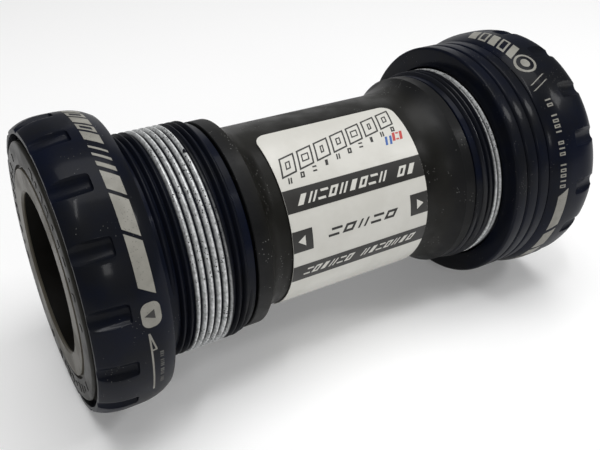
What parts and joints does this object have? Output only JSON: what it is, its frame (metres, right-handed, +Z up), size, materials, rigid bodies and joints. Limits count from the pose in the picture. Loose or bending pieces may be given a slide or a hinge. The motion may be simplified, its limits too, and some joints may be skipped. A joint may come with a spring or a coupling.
{
  "type": "bicycle bottom bracket",
  "caption": "Threaded external-bearing bottom bracket: two notched bearing cups on a plastic centre sleeve, shell spacers on the left cup, open through bore for the spindle.",
  "frame": {"origin": "on the spindle axis, halfway between the outer faces of the two dust caps", "axes": "+Y along the spindle axis from the right (drive side) cup to the left cup, +Z up, +X forward"},
  "size_m": [0.0444, 0.09, 0.0444],
  "materials": {
    "anodised": "satin black anodising, bare aluminium on part of the thread",
    "sleeve_plastic": "moulded black plastic, dull",
    "cap_plastic": "moulded grey-brown plastic, satin",
    "label_film": "printed white film",
    "bearing_steel": "ground bearing steel",
    "ball_steel": "polished steel",
    "cage_nylon": "natural nylon",
    "rubber": "black nitrile rubber"
  },
  "bodies": {
    "sleeve": {"center_sleeve": "sleeve_plastic", "sleeve_label": "label_film", "sleeve_oring_right": "rubber", "sleeve_oring_left": "rubber"},
    "right_cup": {"right_cup": "anodised", "right_outer_race": "bearing_steel", "right_outboard_seal": "rubber", "right_inboard_seal": "rubber"},
    "right_hub": {"right_dust_cap": "cap_plastic", "right_inner_race": "bearing_steel"},
    "right_cage": {"right_ball_cage": "cage_nylon", "right_ball_01": "ball_steel", "right_ball_02": "ball_steel", "right_ball_03": "ball_steel", "right_ball_04": "ball_steel", "right_ball_05": "ball_steel", "right_ball_06": "ball_steel", "right_ball_07": "ball_steel", "right_ball_08": "ball_steel", "right_ball_09": "ball_steel", "right_ball_10": "ball_steel", "right_ball_11": "ball_steel", "right_ball_12": "ball_steel", "right_ball_13": "ball_steel", "right_ball_14": "ball_steel", "right_ball_15": "ball_steel", "right_ball_16": "ball_steel", "right_ball_17": "ball_steel"},
    "left_cup": {"left_cup": "anodised", "left_outer_race": "bearing_steel", "left_outboard_seal": "rubber", "left_inboard_seal": "rubber"},
    "left_hub": {"left_dust_cap": "cap_plastic", "left_inner_race": "bearing_steel"},
    "left_cage": {"left_ball_cage": "cage_nylon", "left_ball_01": "ball_steel", "left_ball_02": "ball_steel", "left_ball_03": "ball_steel", "left_ball_04": "ball_steel", "left_ball_05": "ball_steel", "left_ball_06": "ball_steel", "left_ball_07": "ball_steel", "left_ball_08": "ball_steel", "left_ball_09": "ball_steel", "left_ball_10": "ball_steel", "left_ball_11": "ball_steel", "left_ball_12": "ball_steel", "left_ball_13": "ball_steel", "left_ball_14": "ball_steel", "left_ball_15": "ball_steel", "left_ball_16": "ball_steel", "left_ball_17": "ball_steel"},
    "spacer_outer": {"spacer_outer": "anodised"},
    "spacer_middle": {"spacer_middle": "anodised"},
    "spacer_inner": {"spacer_inner": "anodised"}
  },
  "joints": [
    {"name": "right_cup_slide", "type": "slide", "parent": "sleeve", "child": "right_cup", "axis": [0, -1, 0], "range_m": [0, 0.00375]},
    {"name": "right_hub_spin", "type": "hinge", "parent": "right_cup", "child": "right_hub", "pos_m": [0, -0.0397, 0], "axis": [0, 1, 0], "continuous": true},
    {"name": "right_cage_spin", "type": "hinge", "parent": "right_cup", "child": "right_cage", "pos_m": [0, -0.0397, 0], "axis": [0, 1, 0], "continuous": true},
    {"name": "left_cup_slide", "type": "slide", "parent": "sleeve", "child": "left_cup", "axis": [0, 1, 0], "range_m": [0, 0.00375]},
    {"name": "left_hub_spin", "type": "hinge", "parent": "left_cup", "child": "left_hub", "pos_m": [0, 0.0397, 0], "axis": [0, 1, 0], "continuous": true},
    {"name": "left_cage_spin", "type": "hinge", "parent": "left_cup", "child": "left_cage", "pos_m": [0, 0.0397, 0], "axis": [0, 1, 0], "continuous": true},
    {"name": "spacer_outer_spin", "type": "hinge", "parent": "left_cup", "child": "spacer_outer", "pos_m": [0, 0.03275, 0], "axis": [0, 1, 0], "continuous": true},
    {"name": "spacer_middle_spin", "type": "hinge", "parent": "left_cup", "child": "spacer_middle", "pos_m": [0, 0.03025, 0], "axis": [0, 1, 0], "continuous": true},
    {"name": "spacer_inner_spin", "type": "hinge", "parent": "left_cup", "child": "spacer_inner", "pos_m": [0, 0.02775, 0], "axis": [0, 1, 0], "continuous": true}
  ],
  "couplings": [
    {"joint": "right_cage_spin", "follows": "right_hub_spin", "ratio": 0.4435},
    {"joint": "left_cage_spin", "follows": "left_hub_spin", "ratio": 0.4435}
  ]
}
